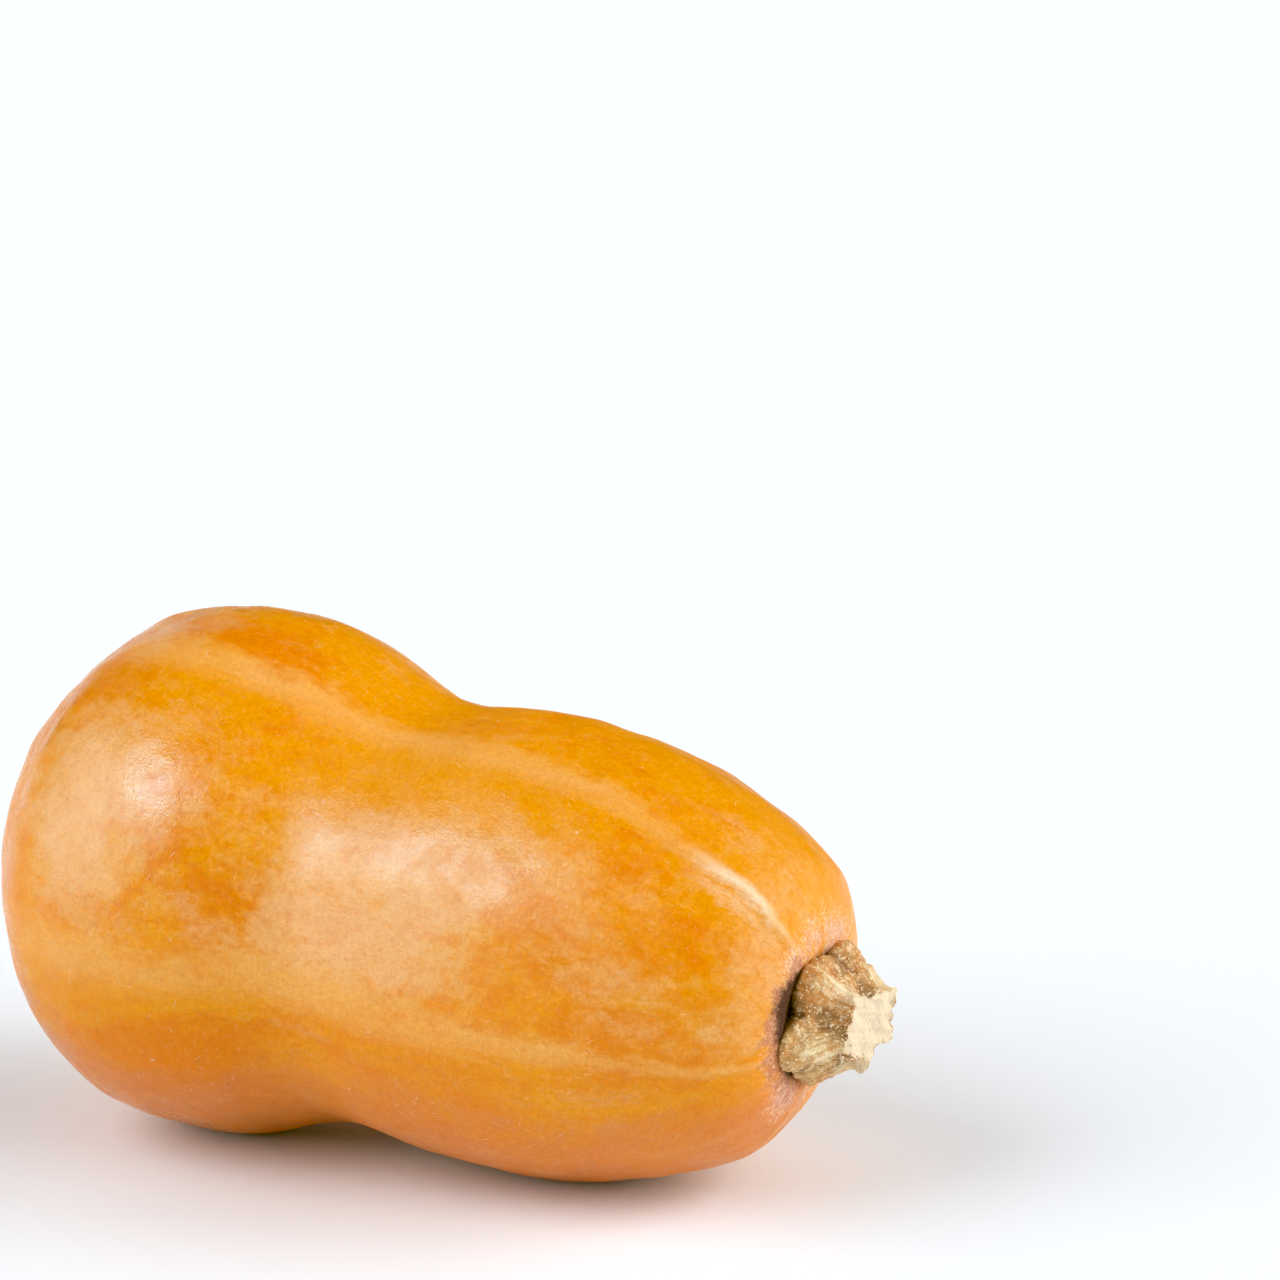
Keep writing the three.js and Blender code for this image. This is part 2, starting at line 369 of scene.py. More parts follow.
def rind_fields(rind, along, distance, radius, angle, points, total):
    """Slow changes over the rind: smooth formulas of the angle and the distance from the blossom end."""
    share = distance / (rind.length / MM)
    upper = facing(angle, FIRST_RIB, 38) * (6.5 - 10.5 * step(0.66, 1.0, share) - 5 * step(0.93, 1.0, share))
    lower = facing(angle, 188, 30) * (6 - 5 * step(0.05, 0.5, abs(share - 0.58)))
    rise = 3 * facing(angle, 112, 20) * bell(distance - 88, 13)
    swirl = -(upper + lower + rise) + 1.2 * waves(points, 60, 110, 8, 3)
    flank = step(124, 146, angle) * step(196, 170, angle) + step(50, 25, angle) + step(300, 335, angle)
    low = facing(angle, 238, 45)
    bloom = 0.03 + 0.5 * flank - 0.25 * low + 0.12 * waves(points, 24, 60, 14, 5)
    ripe = 0.22 + 0.25 * low + 0.12 * waves(points, 20, 50, 14, 6)
    warp = waves(points, 6, 16, 16, 8), waves(points, 6, 16, 16, 9)
    for patch_angle, patch_distance, half_round, half_along, more, redder in PATCHES:
        across = np.radians(nearest_turn(angle - patch_angle, 360)) * np.maximum(radius, 12) + 1.3 * warp[0]
        reach = (across / half_round) ** 2 + ((distance - patch_distance + 2.2 * warp[1]) / half_along) ** 2
        shown = np.exp(-(reach**1.5) * 0.6)
        bloom, ripe = bloom + more * shown, ripe + redder * shown
    bow = angle - 160.5 - 11 * ((distance - 63) / 13) ** 2 + 1.5 * warp[0]
    arc = bell(bow, 1.5 + 1.2 * step(66, 72, distance)) * step(46, 51, distance) * step(77, 73, distance)
    bloom, ripe = bloom - 0.85 * arc, ripe + 0.5 * arc
    under = step(0.1, 0.9, facing(angle, GROUND_SIDE, 43)) + 0.1 * waves(points, 20, 50, 10, 7)
    under = under - 0.5 * facing(angle, 205, 9) * bell(distance - 58, 20)
    pole = step(26, 8, radius) * step(30, 20, distance)
    bloom, ripe = bloom + (0.35 - bloom) * pole, ripe + (0.3 - ripe) * pole
    under = under + (0.1 - under) * pole
    a = np.radians(angle)
    girth = 22 + 0.58 * radius
    growth = np.stack([girth * np.cos(a), girth * np.sin(a), along[:, None] + 0 * a], -1)
    even = 0 * (radius + angle)
    return {
        "growth": growth * MM, "swirl": swirl, "bloom": bloom, "ripe": ripe, "under": under,
        "freckled": facing(angle, 160, 30) * bell(distance - 62, 22),
        "crown": facing(angle, FIRST_RIB, 34) + even, "sore_and_shade": facing(angle, 190, 42) + even,
        # the lower front side, where the mauve bruise and the painted shade of the crevice spread further
        "gap": gap_side(angle) + even, "share": share + even, "axis_gap": radius + even,
        "rim_gap": (total - RIM_LENGTH) - along[:, None] + even,
    }


def gap_side(angle):
    """How open the gap round the stalk is at an angle, 0 to 1: widest on the side where the stalk lifts."""
    return 0.05 + 0.95 * facing(angle, LIFTED_SIDE, 26)


def build_rind(rind):
    """The fruit's skin: the plain fruit pushed along its normals by ribs, a sharp ridge on the main stripe,
    broad lumps, puckers and a crevice round the stalk, and the flower's scar, then pressed flat on the
    ground."""
    along, distance, radius, angle, points, _, total = fruit_base(rind)
    fields = rind_fields(rind, along, distance, radius, angle, points, total)
    share, rim_gap = fields["share"], fields["rim_gap"]
    turned = angle - fields["swirl"] - FIRST_RIB
    ribs = rind.rib_height / MM * np.sin(np.pi * np.clip(share, 0, 1)) * radius / (rind.neck_radius / MM)
    lift = ribs * np.cos(np.radians(turned) * 360 / RIB_TURN)
    main = 0.25 + 0.75 * facing(turned, 0, 20)
    ridge = bell(nearest_turn(turned, STRIPE_TURN) * radius / 48, 1.7)
    ridge = ridge * step(0.62, 0.9, share) * step(-2, 12, rim_gap)
    lift = lift + rind.ridge_height / MM * 1.4 * main * ridge
    early = 6.5 * facing(angle, 158, 48) * bell(distance - 86, 26)
    body = slice(0, int(np.argmax(distance)))
    shifted = np.interp(distance + early, distance[body, 0], radius[body, 0])
    lift = lift + (shifted - radius) * step(0.93, 0.85, share)
    quiet = step(2, 30, along[:, None])
    lumps = waves(points, 28, 60, 16, 11) + 0.4 * waves(points, 9, 16, 24, 12)
    lumps = lumps + 0.1 * waves(points, 4, 7, 30, 15)
    lift = lift + rind.lump_height / MM * quiet * lumps
    fan = angle + 4 * waves(points, 8, 20, 8, 13)
    near = step(16, 2, rim_gap) * step(-4, 1, rim_gap)
    lift = lift + near**2 * (0.03 * np.cos(np.radians(fan) * 38) + 0.03 * np.cos(np.radians(fan) * 61 + 2))
    gap = fields["gap"]
    seat = bell(radius - 15.2, 1.9) * -0.5 * gap + bell(radius - 13.5, 3.5) * (1.3 - 0.7 * gap)
    lift = lift + seat * step(-9, 1, -rim_gap + 0.5)
    flower = step(40, 0, along[:, None])
    scar = 0.55 * bell(radius - 4.3, 1.0) * (1 + 0.5 * waves(points, 2, 5, 10, 14))
    nub = 1.9 * bell(radius, 2.1) ** 2 - 1.3 * bell(radius, 11)
    lift = lift + flower * (scar + nub + 0.12 * bell(radius, 16) * np.cos(np.radians(fan) * 26))
    skin = points + outward(points) * lift[..., None]
    height = skin[..., 2]
    skin[..., 2] = 0.5 * (height + np.sqrt(height**2 + 0.1**2))
    return put_skin("squash_rind", skin, fields, TURN * FRUIT_MAP_RADIUS, along)


def lobe_share(angle):
    """Where an angle lies between the crests of neighbouring feet, 0 to 1, and the reach there."""
    ends = np.append(LOBE_ANGLES, LOBE_ANGLES[0] + 360)
    reach = np.append(LOBE_REACHES, LOBE_REACHES[0])
    turned = (angle - LOBE_ANGLES[0]) % 360 + LOBE_ANGLES[0]
    i = np.clip(np.searchsorted(ends, turned, side="right") - 1, 0, 4)
    share = (turned - ends[i]) / (ends[i + 1] - ends[i])
    blend = share * share * (3 - 2 * share)
    return share, reach[i] * (1 - blend) + reach[i + 1] * blend


def stalk_place(rind, out, side, up):
    """Takes coordinates along, across and up the stalk to the object's frame."""
    seat = rind.length / MM - rind.dimple_depth / MM + SEAT_GAP
    line_side, line_rise = fruit_line(np.array(seat / (rind.length / MM)))
    return laid_down(rind, seat + out, line_side + side, line_rise + up) + fruit_base(rind)[5]


def build_stalk(rind, stalk):
    """The stalk: five-lobed sections, round and swollen at the feet, drawn in to sharp ridges that end in
    the corners of a slanting star-shaped cut, with lengthwise fibres, lumps and corky warts."""
    height, lobe, cut = stalk.height / MM, stalk.lobe_radius / MM, stalk.cut_radius / MM
    knots = np.array([
        (0, 0), (0, 0.5 * lobe), (0.08 * height, 0.84 * lobe), (0.2 * height, lobe),
        (0.36 * height, 0.97 * lobe), (0.58 * height, 0.8 * lobe), (0.8 * height, 1.1 * cut),
        (0.95 * height, 1.01 * cut), (height, 0.95 * cut), (0.985 * height, 0),
    ])
    line = smooth_line(mirrored(knots), 200)

    def crowding(s):
        return np.where(s < 9, 0.35, 1.0) + 0.6 * bell(s - 29.0, 1.5)

    along, place = spread(line, STALK_RINGS, crowding)
    total = along[-1]
    out, radius = place[:, :1], place[:, 1:]
    share = np.clip(out / height, 0, 1)
    face = step(0.35, -0.15, (total - 0.95 * cut) - along[:, None])
    angle = np.arange(STALK_COLUMNS)[None, :] * 360 / STALK_COLUMNS
    a = np.radians(angle)
    twist = 15 * facing(angle, 200, 30) - 12 * facing(angle, 336, 26)
    twist = twist - 6 * facing(angle, 131, 24) - 5 * facing(angle, 48, 24)
    between, reach = lobe_share(angle - twist * step(0.25, 1, share))
    crest = 0.5 + 0.5 * np.cos(TURN * between)
    sharp = 0.7 + 1.4 * step(0.2, 0.85, share)
    depth = 0.26 + 0.03 * step(0.3, 0.9, share)
    ring = np.stack([np.cos(a), np.sin(a)], -1)
    reach = 1 + (reach - 1) * (1 - 0.6 * step(0.4, 1, share))
    notch = (0.17 * facing(angle, 304, 14) + 0.1 * facing(angle, 205, 26)) * step(0.6, 0.95, share)
    section = reach * (1 - notch - depth * (0.62 - 0.12 * step(0.2, 0.85, share)) + depth * crest**sharp)
    out_again = np.broadcast_to(out[..., None], (len(out), STALK_COLUMNS, 1))
    rough = np.concatenate([out_again, radius[..., None] * ring], -1)
    lumps = waves(rough, 5, 9, 18, 21) * 0.4 + waves(rough, 1.8, 3.4, 40, 22) * 0.2
    swing = np.radians(angle + 2.2 * waves(rough, 5, 12, 8, 23))
    fibres = 0.04 * np.cos(swing * 57) + 0.03 * np.cos(swing * 83 + 1) + 0.06 * np.cos(swing * 31)
    side_only = (1 - face) * step(0.0, 0.12, share)
    frayed = 0.18 * step(0.8, 1, share) * waves(rough, 1.2, 2.4, 20, 24)
    radial = radius * section + side_only * (lumps + fibres * step(0.15, 0.5, share) + frayed)
    side, up = radial * np.cos(a), radial * np.sin(a) + stalk.lean / MM * share
    lengthwise = out + share**2 * math.tan(CUT_SLANT) * side
    flat = np.stack([side, up], -1)
    torn = waves(flat, 1.0, 2.2, 30, 25) * 0.07 + waves(flat, 3, 7, 12, 26) * 0.28
    edge_chips = bell(radius - cut * 0.97, 1.0) * waves(flat, 1.6, 3.4, 24, 27) * 0.3
    lengthwise = lengthwise + face * torn + step(0.93, 1, share) * edge_chips
    body = np.stack([lengthwise, side, up], -1)

    rng = np.random.default_rng(28)
    normal = outward(body)
    lowest, highest = int(STALK_RINGS * 0.2), int(STALK_RINGS * 0.8)
    rings = rng.integers(lowest, highest, stalk.wart_count)
    choice = rings, rng.integers(0, STALK_COLUMNS, stalk.wart_count)
    size = rng.uniform(0.1, 0.22, stalk.wart_count)
    seeds = body[choice]
    wart = np.zeros(body.shape[:2])
    cells = body.reshape(-1, 3)
    for part in np.array_split(np.arange(stalk.wart_count), WART_BATCHES):
        gap = ((cells[:, None] - seeds[part]) ** 2).sum(-1)
        wart = np.maximum(wart, np.exp(-gap / size[part] ** 2).max(1).reshape(wart.shape))
    wart = wart * (1 - face)
    body = body + normal * (wart * stalk.wart_height / MM)[..., None]
    skin = stalk_place(rind, body[..., 0], body[..., 1], body[..., 2])
    even = 0 * (out + a)
    lengths = (along[:, None] + even)[..., None]
    growth = np.concatenate([STALK_MAP_RADIUS * ring + even[..., None], lengths], -1)
    fields = {
        "growth": growth * MM, "crest": crest**1.4 + even, "cut_face": face + even, "wart": wart,
        "foot": share + even, "groove": -lumps,
        "sunny": facing(angle, 215, 60) + 0.7 * facing(angle, 85, 35) + even,
    }
    return put_skin("cut_stalk", skin, fields, TURN * STALK_MAP_RADIUS, along)


# ---------------------------------------------------------------- materials


class Value:
    """A number that changes over a surface. Sums on it add Math nodes to its tree."""

    def __init__(self, tree, socket):
        self.tree, self.socket = tree, socket

    def maths(self, operation, *values, clamp=False):
        settings = {"operation": operation, "use_clamp": clamp}
        return self.tree.node("ShaderNodeMath", settings, dict(enumerate(values)))

    def __add__(self, other):
        return self.maths("ADD", self, other)

    def __sub__(self, other):
        return self.maths("SUBTRACT", self, other)

    def __rsub__(self, other):
        return self.maths("SUBTRACT", other, self)

    def __mul__(self, other):
        return self.maths("MULTIPLY", self, other)

    def __truediv__(self, other):
        return self.maths("DIVIDE", self, other)

    def __abs__(self):
        return self.maths("ABSOLUTE", self)

    __radd__, __rmul__ = __add__, __mul__

    def fit(self, low, high):
        """0 at low and 1 at high, eased, and held beyond them. Low may be above high."""
        flip = low > high
        ends = (high, low) if flip else (low, high)
        kind = {"interpolation_type": "SMOOTHSTEP", "clamp": True}
        sockets = {"Value": self, "From Min": ends[0], "From Max": ends[1]}
        out = self.tree.node("ShaderNodeMapRange", kind, sockets)
        return 1 - out if flip else out

    def about(self, reach):
        """A noise's swing about its middle, a half, times a reach."""
        return (self - 0.5) * reach

    def held(self):
        """Held between 0 and 1."""
        return self.maths("ADD", self, 0.0, clamp=True)


class Tree:
    """A material's node tree and the few ways nodes are added to it."""

    def __init__(self, name):
        self.material = bpy.data.materials.new(name)
        self.material.use_nodes = True
        self.nodes, self.links = self.material.node_tree.nodes, self.material.node_tree.links
        self.nodes.clear()

    def node(self, kind, settings=None, inputs=None, output=0):
        """Adds a node, sets its settings, fills its sockets by name or number, and gives one output."""
        made = self.nodes.new(kind)
        for key, setting in (settings or {}).items():
            setattr(made, key, setting)
        for key, value in (inputs or {}).items():
            socket = made.inputs[key]
            if isinstance(value, Value):
                self.links.new(value.socket, socket)
            elif getattr(value, "__len__", None) and len(value) == 3 and socket.type == "RGBA":
                socket.default_value = (*value, 1)
            else:
                socket.default_value = value
        return Value(self, made.outputs[output]) if len(made.outputs) else None

    def field(self, name, output="Fac"):
        return self.node("ShaderNodeAttribute", {"attribute_name": name}, output=output)

    def place(self):
        return self.node("ShaderNodeTexCoord", output="Object")

    def vector(self, operation, a, b):
        return self.node("ShaderNodeVectorMath", {"operation": operation}, {0: a, 1: b})

    def scaled(self, vector, x, y, z):
        return self.vector("MULTIPLY", vector, (x, y, z))

    def noise(self, vector, scale, detail=2.0, roughness=0.5, distortion=0.0):
        sockets = {"Vector": vector, "Scale": scale, "Detail": detail, "Roughness": roughness}
        return self.node("ShaderNodeTexNoise", None, {**sockets, "Distortion": distortion})

    def cells(self, vector, scale, output, dimensions="3D"):
        settings = {"voronoi_dimensions": dimensions}
        return self.node("ShaderNodeTexVoronoi", settings, {"Vector": vector, "Scale": scale}, output)

    def mix(self, amount, a, b, blend="MIX"):
        """Colour a, or b where amount is 1. The numbers are those of the colour sockets."""
        settings = {"data_type": "RGBA", "blend_type": blend}
        return self.node("ShaderNodeMix", settings, {0: amount, 6: a, 7: b}, 2)

    def coats(self, colour, *layers):
        """A colour under coats of tint. Each coat is how much of it shows and its tint, the last on top."""
        for amount, tint in layers:
            colour = self.mix(amount, colour, tint)
        return colour

    def finish(self, colour, rough, specular, bump):
        """The surface: its colour, roughness, specular level and bump in millimetres, and the output."""
        normal = self.node("ShaderNodeBump", None, {"Height": bump, "Distance": MM, "Strength": 1.0})
        sockets = {"Base Color": colour, "Roughness": rough, "Specular IOR Level": specular}
        shader = self.node("ShaderNodeBsdfPrincipled", None, {**sockets, "Normal": normal})
        self.node("ShaderNodeOutputMaterial", None, {"Surface": shader})
        return self.material


def scratches(t, flat, per_metre, length, width, shown, seed):
    """Short straight scratches: one in each of the flat cells that is picked, at its own angle. It is 1 on
    the scratch, where the distance across it is below width and along it below length, in mm."""
    moved = t.vector("ADD", flat, (seed * 0.37, seed * 0.73, 0))
    colour = t.cells(moved, per_metre, "Color", "2D")
    centre = t.cells(moved, per_metre, "Position", "2D")
    angle_draw, shown_draw = (t.node("ShaderNodeSeparateColor", None, {0: colour}, n) for n in (0, 1))
    local = t.vector("SUBTRACT", moved, centre)
    lx, ly = (t.node("ShaderNodeSeparateXYZ", None, {0: local}, n) * (1 / MM) for n in (0, 1))
    turn = angle_draw * math.pi
    c, s = turn.maths("COSINE", turn), turn.maths("SINE", turn)
    along, across = abs(lx * c + ly * s), abs(ly * c - lx * s)
    picked = shown_draw.fit(shown, shown - 0.02)
    return across.fit(width, 0.3 * width) * along.fit(length, 0.5 * length) * picked


GRAIN_SHADE = (0.82, 0.74, 0.8)


def rind_material(rind):
    """Waxy rind: orange skin under a tan bloom that is broken by mottles and fine lengthwise streaks, pale
    stripes on the ribs, the main one's spine by the stalk brightened to cream as a painted highlight, a
    red-brown underside, freckles, scratches, scuffs, and painted shade in plum over the dark skin of the
    crevice round the stalk."""
    t = Tree("waxy_squash_rind")
    place, growth = t.place(), t.field("growth", "Vector")
    flat = t.node("ShaderNodeUVMap", {"uv_map": "growth_map"})
    under, rim_gap = t.field("under"), t.field("rim_gap")
    axis_gap, share = t.field("axis_gap"), t.field("share")
    gx, gy = (t.node("ShaderNodeSeparateXYZ", None, {0: growth}, n) for n in (0, 1))
    angle = gy.maths("ARCTAN2", gy, gx) * (180 / math.pi)

    cloud = t.noise(t.scaled(growth, 1, 1, 0.62), 60, 3, 0.6, 0.8)
    mottle = t.noise(t.scaled(growth, 1, 1, 0.75), 230, 3, 0.65, 0.2)
    speck = t.noise(place, 1700, 2, 0.7)
    streak = t.noise(t.scaled(growth, 1, 1, 0.075), 1000, 1, 0.6)
    long_streak = t.noise(t.scaled(growth, 1, 1, 0.05), 300, 2, 0.6)
    fleck = t.noise(t.scaled(growth, 1, 1, 0.85), 620, 3, 0.7)
    cover = t.field("bloom") + cloud.about(1.2) + mottle.about(1.3) + fleck.about(0.75) + speck.about(0.15)
    ripe = t.field("ripe") + mottle.about(-1.6) + cloud.about(1.0) + long_streak.about(0.6)
    colour = t.coats(
        t.mix(ripe.fit(0, 1), rind.orange, rind.ember),
        (cover.fit(-0.1, 1.0), t.mix(ripe.fit(-0.1, 1.1), rind.bloom, rind.rose)),
        (fleck.fit(0.51, 0.58) * 0.16, rind.straw),
        (fleck.fit(0.46, 0.39) * 0.2, rind.russet),
        ((under + cloud.about(0.9) + mottle.about(1.4)).fit(0.1, 1.1) * 0.75, rind.clay),
    )

    sway = mottle.about(7) + streak.about(5) + cloud.about(5)
    turned = (angle - FIRST_RIB - t.field("swirl") + sway) / STRIPE_TURN
    beside = (turned - turned.maths("ROUND", turned)) * STRIPE_TURN
    apart = abs(beside)
    half_turned = turned + 0.5
    apart_weak = abs(half_turned - half_turned.maths("ROUND", half_turned)) * STRIPE_TURN
    crown = t.field("crown")
    wide = 7.5 - share.fit(0.6, 0.95) * 4
    fibrous = long_streak.about(1.2) + mottle.about(1.0)
    stripe = (apart / wide).fit(1.2, 0.0) * (0.72 + crown * 0.15 + fibrous).held()
    weak = apart_weak.fit(4.0, 0.5) * (0.25 + fibrous).held()
    ends = share.fit(0.06, 0.2) * rim_gap.fit(-1, 8)
    pale = t.mix(under.fit(0.05, 0.35), rind.straw, rind.bloom)
    ragged = mottle.about(1.0) + long_streak.about(0.8) + streak.about(0.6)
    # The pale spine of the main stripe by the stalk: partly paler skin, partly a painted highlight of its
    # ridge, coated in cream
    spine_and_glint = (apart / 4.8 + ragged).fit(1.2, -0.2) + (abs(beside - 7.5) / 3.2 + ragged).fit(1.1, 0.0) * 0.4
    spine_and_glint = spine_and_glint.held() * share.fit(0.86, 0.92) * (0.4 + share.fit(0.98, 0.95) * 0.5)
    spots = t.cells(place, 340, "Distance") + speck.about(0.5)
    colour = t.coats(
        colour,
        (((stripe * 1.05 + weak * 0.35) * ends).held(), pale),
        (spine_and_glint * rim_gap.fit(2, 13) * crown, rind.cream),
        (fleck.fit(0.54, 0.68) * ripe.fit(0.1, 0.8) * 0.4, rind.russet),
        (speck.fit(0.52, 0.75) * 0.1, rind.russet),
        (speck.fit(0.5, 0.28) * 0.08, rind.straw),
        (spots.fit(0.4, 0.1) * t.field("freckled") * 0.65, rind.russet),
    )

    rays = t.noise(t.scaled(growth, 1, 1, 0.05), 520, 2, 0.65)
    fine_rays = t.noise(t.scaled(growth, 1, 1, 0.12), 1500, 1, 0.6)
    near = rim_gap.fit(10, 0.5)
    scuff = (near * 0.7 + cloud.about(2.4) + rays.about(1.6) - 0.3).fit(0.15, 0.75) * near.fit(0, 0.4)
    gap, sore_and_shade = t.field("gap"), t.field("sore_and_shade")
    bruise = near + gap * 0.6 + sore_and_shade * 0.9 + mottle.about(2.2) + cloud.about(1.4) - 1.2
    # dark: plum painted as the shade of the crevice round the stalk, over its dark skin, wider where the gap
    # opens and on the lower front side
    dark = axis_gap + fleck.about(5) + mottle.about(3) + (1 - gap) * 7 - sore_and_shade * 3
    dark = dark.fit(22.3, 18.6) * rim_gap.fit(20, 6)
    fuzz = speck.fit(0.54, 0.68) * (near + cloud.about(1.5)).fit(0.15, 0.8)
    scar = (axis_gap + speck.about(2)).fit(6.5, 4.0) * share.fit(0.1, 0.04)
    colour = t.coats(
        colour,
        (scuff * 0.5, rind.ash),
        (near.fit(0, 0.5) * fine_rays.fit(0.55, 0.7) * cloud.fit(0.4, 0.55) * 0.7, rind.cream),
        (bruise.fit(0.0, 0.6) * near.fit(0, 0.4) * 0.75, rind.bruise),
        # painted shade of the crevice, over dark plum skin
        (dark * 0.95, rind.plum),
        (fuzz * (1 - dark * 0.85) * 0.6, rind.cream),
        (scar * 0.85, rind.russet),
    )

    bunch = t.noise(place, 34, 1, 0.5).fit(0.6, 0.66)
    bunched = scratches(t, flat, 210, 0.9, 0.1, 0.5, 1) * bunch
    scratch = (bunched + scratches(t, flat, 30, 1.4, 0.09, 0.7, 2) * 0.8).held()
    hairs = scratches(t, flat, 460, 0.8, 0.09, 0.3, 3) * (mottle - 0.15).held()
    pits = t.cells(place, 70, "Distance").fit(0.035, 0.015)
    dry_marks = (scratch * 0.6, hairs * 0.65, pits * 0.5)
    colour = t.coats(colour, *((mark, rind.cream) for mark in dry_marks))

    weft = t.noise(t.scaled(growth, 0.3, 0.3, 1), 1900, 2, 0.7)
    warp = t.noise(t.scaled(growth, 1, 1, 0.4), 1900, 2, 0.7)
    grain = weft + warp + speck
    colour = t.mix(grain.fit(1.75, 1.25) * 0.55, colour, GRAIN_SHADE, "MULTIPLY")
    haze = t.noise(growth, 130, 3, 0.6)
    crinkle = t.noise(growth, 1100, 2, 0.6, 1.0)
    dents = t.noise(growth, 360, 2, 0.5, 0.3)
    bump = grain * 0.04 + crinkle * 0.055 + dents * 0.1 + rays * near * 0.04
    rough = 0.23 + share.fit(0.3, 0.42) * 0.11 + haze.fit(0.42, 0.62) * 0.14
    rough = rough + speck.about(0.1) + scuff * 0.2 + dark * 0.25
    return t.finish(colour, rough, specular=0.3, bump=bump)


def stalk_material(stalk):
    """Dry corky stalk: tan and olive skin, umber grooves that are partly painted shade, ridges paled towards
    bone that are partly a painted highlight, cream warts, lengthwise fibres, and a fibrous cream cut face."""
    t = Tree("corky_squash_stalk")
    place, growth = t.place(), t.field("growth", "Vector")
    crest, face, wart, foot, groove = (t.field(n) for n in ("crest", "cut_face", "wart", "foot", "groove"))
    patch = t.noise(place, 260, 3, 0.6)
    grain = t.noise(place, 1700, 3, 0.65)
    fibre = t.noise(t.scaled(growth, 1, 1, 0.09), 2600, 3, 0.65)
    bands = t.noise(t.scaled(growth, 1, 1, 0.12), 900, 3, 0.6)

    # Umber between the crests and where the lumps lie low: partly darker skin, partly painted shade in the
    # grooves
    groove_skin_and_shade = (groove * 1.1 + patch.about(1.8) + bands.about(1.2) + (0.5 - crest) * 1.1).fit(-0.1, 1.0)
    chalk = t.noise(place, 620, 3, 0.7)
    # Bone on the ridge crests up the feet: partly paler skin, partly a painted highlight
    pale_ridge_and_glint = (crest * foot.fit(0.25, 0.75) * 0.9 + bands.about(1.8) + patch.about(0.9)).fit(0.3, 1.05)
    pith_grain = t.noise(place, 1500, 4, 0.7, 0.6)
    pith = t.mix(pith_grain.fit(0.5, 0.8) * 0.25, stalk.pith, stalk.tan)
    pores = (t.cells(place, 480, "Distance") + grain.about(0.4)).fit(0.16, 0.06)
    colour = t.coats(
        t.mix((patch - 0.5 + t.field("sunny") * 0.3).fit(-0.05, 0.4), stalk.tan, stalk.olive),
        (groove_skin_and_shade * 0.85, stalk.umber),
        (chalk.fit(0.5, 0.7) * 0.65, stalk.bone),
        (chalk.fit(0.48, 0.3) * 0.6, stalk.umber),
        (pale_ridge_and_glint * 0.75, stalk.bone),
        (fibre.fit(0.55, 0.72) * 0.45, stalk.bone),
        (fibre.fit(0.45, 0.3) * 0.45, stalk.umber),
        (grain.fit(0.55, 0.75) * 0.3, stalk.umber),
        (wart.fit(0.2, 0.6) * 0.95, stalk.bone),
        ((face + grain.about(0.25)).fit(0.08, 0.25), t.mix(pores * 0.5, pith, stalk.umber)),
    )

    skin = 1 - face
    bump = fibre * 0.1 * skin + grain * 0.05 + patch * 0.1 + pith_grain * 0.06 * face
    bump = bump + chalk * 0.12 * skin + bands * 0.1
    rough = 0.52 + grain.about(0.2) + face * 0.25
    return t.finish(colour, rough, specular=0.25, bump=bump)


def fibre_material(stalk):
    """Torn fibres: cream pith with fine darker threads."""
    t = Tree("torn_squash_pith")
    place = t.place()
    thread = t.noise(t.scaled(place, 1, 1, 0.35), 2600, 3, 0.6)
    colour = t.mix(thread.fit(0.5, 0.75) * 0.3, stalk.pith, stalk.tan)
    return t.finish(colour, 0.75 + thread.about(0.2), specular=0.3, bump=thread * 0.1)


def floor_material(stage):
    """Plain pale floor with a faint unevenness."""
    t = Tree("pale_floor")
    cloud = t.noise(t.place(), 3, 2, 0.5)
    colour = t.mix(cloud * 0.1, stage.floor_colour, [c * 0.97 for c in stage.floor_colour])
    return t.finish(colour, 0.9, specular=0.1, bump=cloud * 0.05)


# ---------------------------------------------------------------- operators


def dressed(piece, material, slot, *nodes):
    """Gives a piece its material and its body, and hides the CAD nodes it stands for. The slot is not used.
    """
    piece.data.materials.append(material)
    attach(piece, "root")
    if nodes:
        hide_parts(*nodes)
    return piece


class SQUASH_OT_grow_rind(bpy.types.Operator):
    """Grows the fruit with its ribs, crevice, blossom scar and waxy rind"""

    bl_idname = "squash.grow_rind"
    bl_label = "Grow rind"

    def execute(self, context):
        rind = context.scene.squash_rind
        dressed(build_rind(rind), rind_material(rind), "rind", FRUIT_NODE)
        return {"FINISHED"}


# torn fibres: stalk angle in degrees, share of the cut radius, length and width in mm, and the way each
# one hangs (out along the stalk, sideways, up)
FIBRES = (
    (214, 0.93, 1.4, 1.0, (0.5, 0.1, -1.0)),
    (244, 0.72, 3.2, 1.5, (0.6, 0.2, -1.0)),
    (254, 0.76, 3.2, 1.7, (0.75, 0.15, -1.0)),
    (264, 0.82, 2.8, 2.1, (0.8, 0.0, -1.0)),
    (277, 0.88, 2.0, 1.6, (0.8, 0.1, -1.0)),
)


